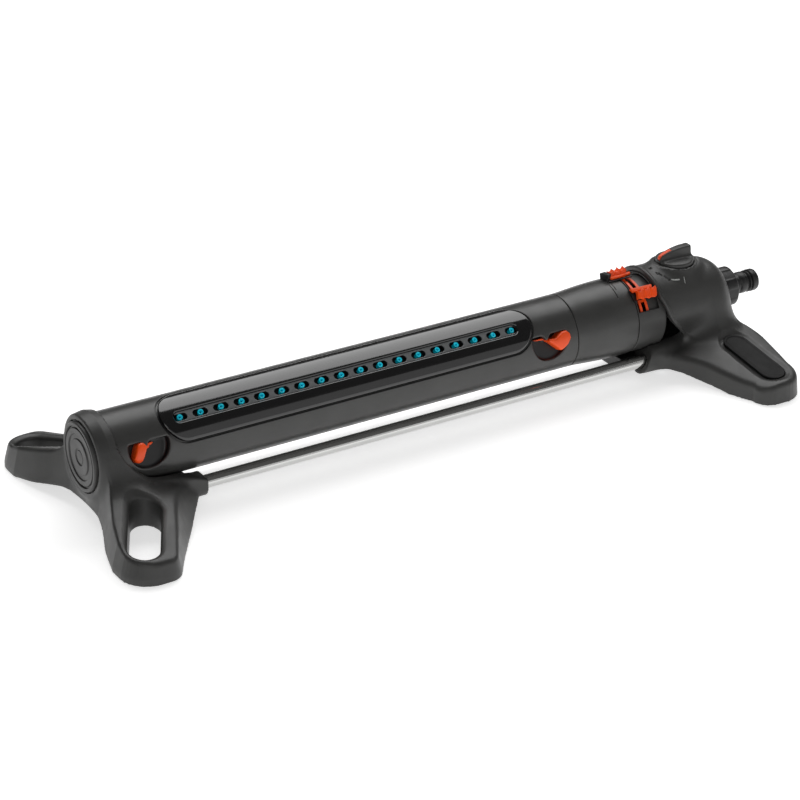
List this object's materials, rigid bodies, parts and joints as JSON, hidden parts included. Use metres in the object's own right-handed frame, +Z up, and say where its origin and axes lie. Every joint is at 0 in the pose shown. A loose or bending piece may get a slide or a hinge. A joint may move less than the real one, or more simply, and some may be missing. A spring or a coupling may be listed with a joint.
{
  "type": "oscillating lawn sprinkler",
  "caption": "Oscillating lawn sprinkler: a swinging spray tube with a nozzle row between two splayed feet, with range sliders, width levers, a flow knob and a water motor.",
  "frame": {"origin": "on the ground under the middle of the sprinkler", "axes": "+X along the spray tube towards the hose inlet, -Y towards the side the nozzles are tilted to at rest, +Z up"},
  "size_m": [0.5985, 0.226, 0.092],
  "materials": {
    "charcoal_plastic": "fine-grained satin moulding",
    "black_plastic": "moulded black",
    "gloss_black": "high gloss",
    "orange_plastic": "satin",
    "teal_rubber": "soft elastomer",
    "chrome_tube": "polished",
    "gear_plastic": "natural acetal",
    "motor_plastic": "glass-filled grey",
    "seal_rubber": "seal rubber",
    "steel": "stainless"
  },
  "bodies": {
    "stand": {"left_foot": "charcoal_plastic", "left_cap": "charcoal_plastic", "left_bearing": "gear_plastic", "right_foot": "charcoal_plastic", "right_badge": "charcoal_plastic", "range_collar": "charcoal_plastic", "inlet_stem": "black_plastic", "valve_body": "black_plastic", "sun_gear": "gear_plastic", "support_rod_front": "chrome_tube", "support_rod_rear": "chrome_tube", "rod_bridge": "black_plastic", "foot_screws": "steel", "hose_nipple": "gloss_black", "inlet_washer": "seal_rubber", "inlet_strainer": "gear_plastic", "spindle_seal": "seal_rubber"},
    "flow_control": {"flow_knob": "charcoal_plastic", "knob_pointer": "orange_plastic", "valve_ball": "motor_plastic"},
    "spray_tube": {"tube_shell": "charcoal_plastic", "trim_panel": "gloss_black", "nozzle_insert": "gloss_black", "nozzle_strip": "black_plastic", "spray_nozzles": "teal_rubber", "water_channel": "black_plastic", "left_journal": "black_plastic", "range_sleeve": "charcoal_plastic", "bearing_hub": "motor_plastic", "hub_seal": "seal_rubber", "gear_case": "motor_plastic", "gear_case_lid": "motor_plastic", "gear_arbors": "steel", "jet_plate": "motor_plastic", "turbine_spider": "motor_plastic", "trip_spring": "steel"},
    "left_lever": {"width_lever_left": "orange_plastic"},
    "right_lever": {"width_lever_right": "orange_plastic"},
    "left_slide": {"spread_slide_left": "black_plastic"},
    "right_slide": {"spread_slide_right": "black_plastic"},
    "front_range": {"range_tab_front": "orange_plastic", "range_cheek_front": "black_plastic", "range_carriage_front": "orange_plastic"},
    "top_range": {"range_tab_top": "orange_plastic", "range_cheek_top": "black_plastic", "range_carriage_top": "orange_plastic"},
    "gear_one": {"first_wheel": "gear_plastic"},
    "gear_two": {"second_wheel": "gear_plastic"},
    "gear_three": {"third_wheel": "gear_plastic"},
    "turbine_rotor": {"turbine": "motor_plastic"},
    "trip": {"trip_lever": "motor_plastic", "diverter_flap": "gear_plastic"},
    "hose_nut": {"union_nut": "black_plastic"}
  },
  "joints": [
    {"name": "tube_swing", "type": "hinge", "parent": "stand", "child": "spray_tube", "pos_m": [0, 0, 0.047], "axis": [1, 0, 0], "range_deg": [-91, 9]},
    {"name": "flow_turn", "type": "hinge", "parent": "stand", "child": "flow_control", "pos_m": [0.218, 0, 0.08], "axis": [0, 0, 1], "range_deg": [-90, 0]},
    {"name": "width_left", "type": "hinge", "parent": "spray_tube", "child": "left_lever", "pos_m": [-0.2445, -0.02269, 0.05481], "axis": [0, -0.9455, 0.3256], "range_deg": [0, 140]},
    {"name": "width_right", "type": "hinge", "parent": "spray_tube", "child": "right_lever", "pos_m": [0.0865, -0.02269, 0.05481], "axis": [0, -0.9455, 0.3256], "range_deg": [-140, 0]},
    {"name": "spread_left", "type": "slide", "parent": "spray_tube", "child": "left_slide", "axis": [1, 0, 0], "range_m": [0, 0.0086]},
    {"name": "spread_right", "type": "slide", "parent": "spray_tube", "child": "right_slide", "axis": [1, 0, 0], "range_m": [-0.0086, 0]},
    {"name": "range_front", "type": "hinge", "parent": "stand", "child": "front_range", "pos_m": [0.175, 0, 0.047], "axis": [1, 0, 0], "range_deg": [-14, 20]},
    {"name": "range_top", "type": "hinge", "parent": "stand", "child": "top_range", "pos_m": [0.17, 0, 0.047], "axis": [1, 0, 0], "range_deg": [-55, 8]},
    {"name": "first_spin", "type": "hinge", "parent": "spray_tube", "child": "gear_one", "pos_m": [0.137, 0.00787, 0.03794], "axis": [1, 0, 0], "range_deg": [-274, 28]},
    {"name": "second_spin", "type": "hinge", "parent": "spray_tube", "child": "gear_two", "pos_m": [0.131, 0, 0.047], "axis": [1, 0, 0], "range_deg": [-82, 820]},
    {"name": "third_spin", "type": "hinge", "parent": "spray_tube", "child": "gear_three", "pos_m": [0.126, 0.00787, 0.03794], "axis": [1, 0, 0], "range_deg": [-2458, 244]},
    {"name": "turbine_spin", "type": "hinge", "parent": "spray_tube", "child": "turbine_rotor", "pos_m": [0.11, 0, 0.047], "axis": [1, 0, 0], "range_deg": [-730, 7372]},
    {"name": "trip_rock", "type": "hinge", "parent": "spray_tube", "child": "trip", "pos_m": [0.17, -0.01148, 0.06021], "axis": [1, 0, 0], "range_deg": [-6, 6]},
    {"name": "nut_turn", "type": "hinge", "parent": "stand", "child": "hose_nut", "pos_m": [0.2633, 0, 0.047], "axis": [1, 0, 0], "range_deg": [0, 360]}
  ],
  "couplings": [
    {"joint": "first_spin", "follows": "tube_swing", "ratio": 3},
    {"joint": "second_spin", "follows": "tube_swing", "ratio": -9},
    {"joint": "third_spin", "follows": "tube_swing", "ratio": 27},
    {"joint": "turbine_spin", "follows": "tube_swing", "ratio": -81},
    {"joint": "spread_left", "follows": "width_left", "m_per_rad": 0.0035},
    {"joint": "spread_right", "follows": "width_right", "m_per_rad": 0.0035}
  ]
}
